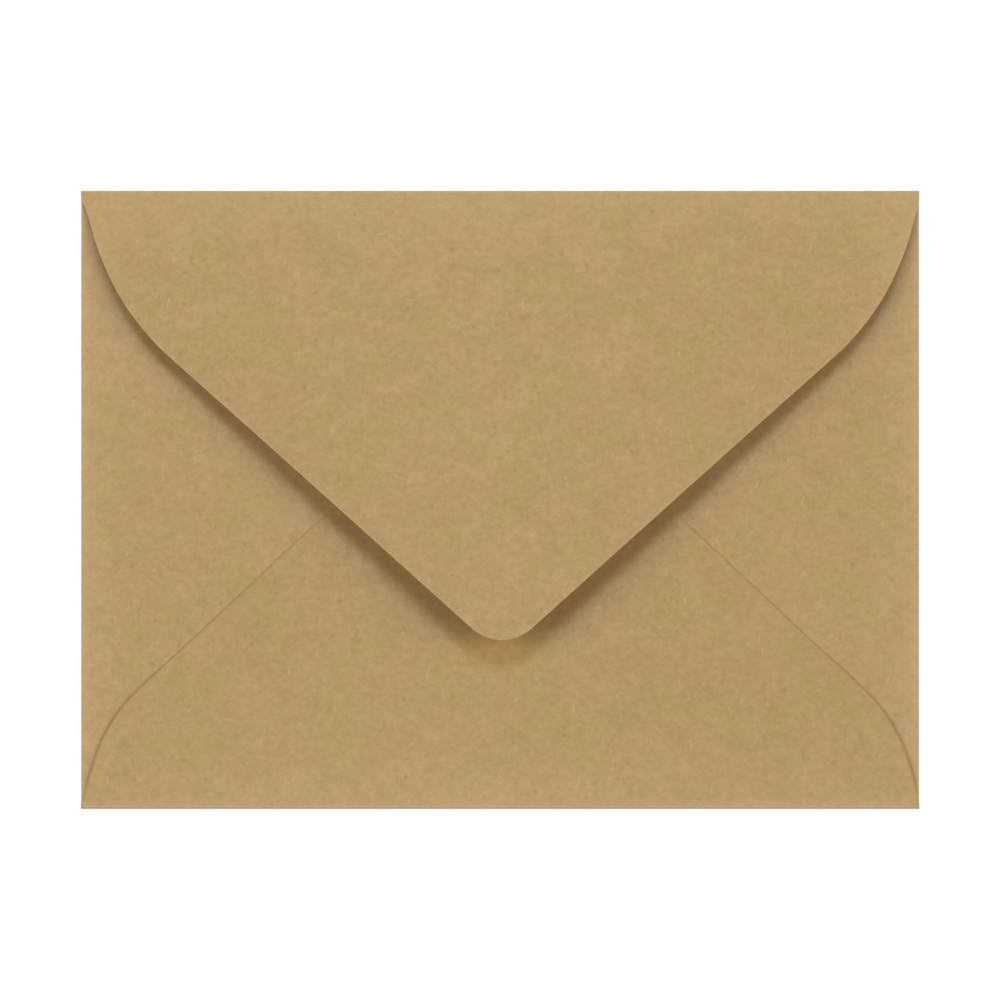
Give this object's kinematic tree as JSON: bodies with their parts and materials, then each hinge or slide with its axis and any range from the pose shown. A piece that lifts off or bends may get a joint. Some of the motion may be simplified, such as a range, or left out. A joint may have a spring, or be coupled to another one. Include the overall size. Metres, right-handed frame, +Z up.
{
  "type": "paper envelope",
  "caption": "Small kraft paper envelope, folded and glued from a single die-cut sheet, with a deep pointed flap left unsealed over its pocket.",
  "frame": {"origin": "middle of the front panel's outer face, which lies on the table", "axes": "+X along the width, +Y towards the top fold that carries the long flap, +Z up through the flap side"},
  "size_m": [0.0936, 0.069, 0.0042],
  "materials": {
    "kraft_paper": "matte"
  },
  "bodies": {
    "root": {"envelope": "kraft_paper"}
  },
  "joints": []
}
